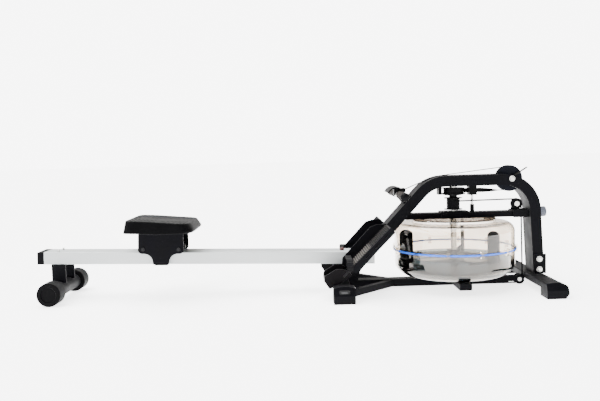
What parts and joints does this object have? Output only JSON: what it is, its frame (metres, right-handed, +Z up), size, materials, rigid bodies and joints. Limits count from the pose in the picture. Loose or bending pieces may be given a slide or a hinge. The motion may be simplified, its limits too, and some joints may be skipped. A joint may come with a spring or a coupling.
{
  "type": "rowing machine",
  "caption": "Rowing machine with a clear water tank and paddle impeller under a bent-tube arch, a long single rail with a rolling seat, footplates, and a belt-drawn handle.",
  "frame": {"origin": "on the floor, midway along and across the whole machine", "axes": "+X from the seat end to the tank end, +Y to the rower's left, +Z up"},
  "size_m": [2.0154, 0.602, 0.48],
  "materials": {
    "powder_coated_steel": "satin black powder coat",
    "rail_aluminium": "clear anodised extrusion",
    "moulded_black_plastic": "fine moulded texture",
    "impeller_plastic": "moulded",
    "black_rubber": "moulded rubber",
    "bumper_rubber": "moulded rubber",
    "wheel_urethane": "cast urethane",
    "grip_foam": "closed-cell foam",
    "seat_foam": "integral-skin moulded foam",
    "bright_steel": "bright zinc and nickel plate",
    "clear_polycarbonate": "clear moulded polycarbonate",
    "gasket_blue": "extruded silicone",
    "water": "still water",
    "webbing": "woven nylon",
    "bungee_sleeve": "braided polyester sleeve"
  },
  "bodies": {
    "frame": {"rail": "rail_aluminium", "rail_end_cap": "moulded_black_plastic", "rail_bumper": "bumper_rubber", "rear_foot_tube": "powder_coated_steel", "rear_foot_caps": "black_rubber", "rear_bracket": "powder_coated_steel", "middle_foot_tube": "powder_coated_steel", "middle_foot_caps": "moulded_black_plastic", "front_foot_tube": "powder_coated_steel", "front_foot_caps": "moulded_black_plastic", "base_beam": "powder_coated_steel", "base_braces": "powder_coated_steel", "tank_arms": "powder_coated_steel", "joint_plates": "powder_coated_steel", "rail_supports": "powder_coated_steel", "arch_beam": "powder_coated_steel", "post_plates": "powder_coated_steel", "frame_bolts": "bright_steel", "standing_pads": "black_rubber", "drive_deck": "powder_coated_steel", "deck_brackets": "powder_coated_steel", "tank_lower_shell": "clear_polycarbonate", "tank_upper_shell": "clear_polycarbonate", "tank_gasket": "gasket_blue", "tank_lid": "clear_polycarbonate", "tank_clips": "clear_polycarbonate", "tank_water": "water", "shaft_bearings": "bright_steel", "guide_rod": "bright_steel", "belt_guide": "moulded_black_plastic", "belt_pulley_axle": "bright_steel", "bungee_axles": "bright_steel", "bungee_mounts": "powder_coated_steel", "bungee_cord": "bungee_sleeve", "belt_strand": "webbing", "drive_belt": "webbing", "console_hoop": "bright_steel", "handle_rest": "powder_coated_steel", "footplates": "powder_coated_steel", "foot_treads": "moulded_black_plastic", "foot_straps": "webbing"},
    "heel_left": {"heel_cup_left": "moulded_black_plastic"},
    "heel_right": {"heel_cup_right": "moulded_black_plastic"},
    "impeller": {"impeller_shaft": "bright_steel", "impeller_blades": "impeller_plastic"},
    "reel": {"belt_reel": "moulded_black_plastic", "bungee_spool": "moulded_black_plastic"},
    "belt_pulley": {"belt_pulley": "moulded_black_plastic"},
    "upper_pulley": {"bungee_pulley_upper": "moulded_black_plastic"},
    "lower_pulley": {"bungee_pulley_lower": "moulded_black_plastic"},
    "handle": {"handle_bar": "bright_steel", "handle_grips": "grip_foam", "handle_end_plugs": "moulded_black_plastic", "handle_yoke": "moulded_black_plastic"},
    "seat": {"seat_carriage": "powder_coated_steel", "seat_axles": "bright_steel", "seat_glides": "moulded_black_plastic", "seat_pad": "seat_foam"},
    "rear_wheels": {"seat_wheels_rear": "wheel_urethane"},
    "front_wheels": {"seat_wheels_front": "wheel_urethane"}
  },
  "joints": [
    {"name": "seat_slide", "type": "slide", "parent": "frame", "child": "seat", "axis": [0.9996, 0, -0.0278], "range_m": [-0.328, 0.635]},
    {"name": "rear_wheels_roll", "type": "hinge", "parent": "seat", "child": "rear_wheels", "pos_m": [-0.58532, 0, 0.19278], "axis": [0, 1, 0], "range_deg": [-1570, 3035]},
    {"name": "front_wheels_roll", "type": "hinge", "parent": "seat", "child": "front_wheels", "pos_m": [-0.44537, 0, 0.18889], "axis": [0, 1, 0], "range_deg": [-1570, 3035]},
    {"name": "handle_pull", "type": "slide", "parent": "frame", "child": "handle", "axis": [-0.9848, 0, 0.1736], "range_m": [0, 1], "stiffness_N_per_m": 25, "springref_m": -0.4, "deforming": ["belt_strand"]},
    {"name": "reel_spin", "type": "hinge", "parent": "frame", "child": "reel", "pos_m": [0.6495, 0, 0.35], "axis": [0, 0, 1], "range_deg": [-1455, 0]},
    {"name": "belt_pulley_spin", "type": "hinge", "parent": "frame", "child": "belt_pulley", "pos_m": [0.871, 0, 0.428], "axis": [0, 1, 0], "range_deg": [-1225, 0]},
    {"name": "upper_pulley_spin", "type": "hinge", "parent": "frame", "child": "upper_pulley", "pos_m": [0.902, 0, 0.325], "axis": [0, 1, 0], "range_deg": [-1780, 0]},
    {"name": "lower_pulley_spin", "type": "hinge", "parent": "frame", "child": "lower_pulley", "pos_m": [0.909, 0, 0.021], "axis": [0, 1, 0], "range_deg": [-1515, 0]},
    {"name": "impeller_spin", "type": "hinge", "parent": "frame", "child": "impeller", "pos_m": [0.6495, 0, 0.2], "axis": [0, 0, 1], "continuous": true},
    {"name": "heel_left_slide", "type": "slide", "parent": "frame", "child": "heel_left", "axis": [0.7071, 0, 0.7071], "range_m": [-0.01, 0.04]},
    {"name": "heel_right_slide", "type": "slide", "parent": "frame", "child": "heel_right", "axis": [0.7071, 0, 0.7071], "range_m": [-0.01, 0.04]}
  ],
  "couplings": [
    {"joint": "rear_wheels_roll", "follows": "seat_slide", "rad_per_m": 83.333},
    {"joint": "front_wheels_roll", "follows": "seat_slide", "rad_per_m": 83.333},
    {"joint": "reel_spin", "follows": "handle_pull", "rad_per_m": -25.381},
    {"joint": "belt_pulley_spin", "follows": "handle_pull", "rad_per_m": -21.322},
    {"joint": "upper_pulley_spin", "follows": "handle_pull", "rad_per_m": -30.99},
    {"joint": "lower_pulley_spin", "follows": "handle_pull", "rad_per_m": -26.357}
  ]
}
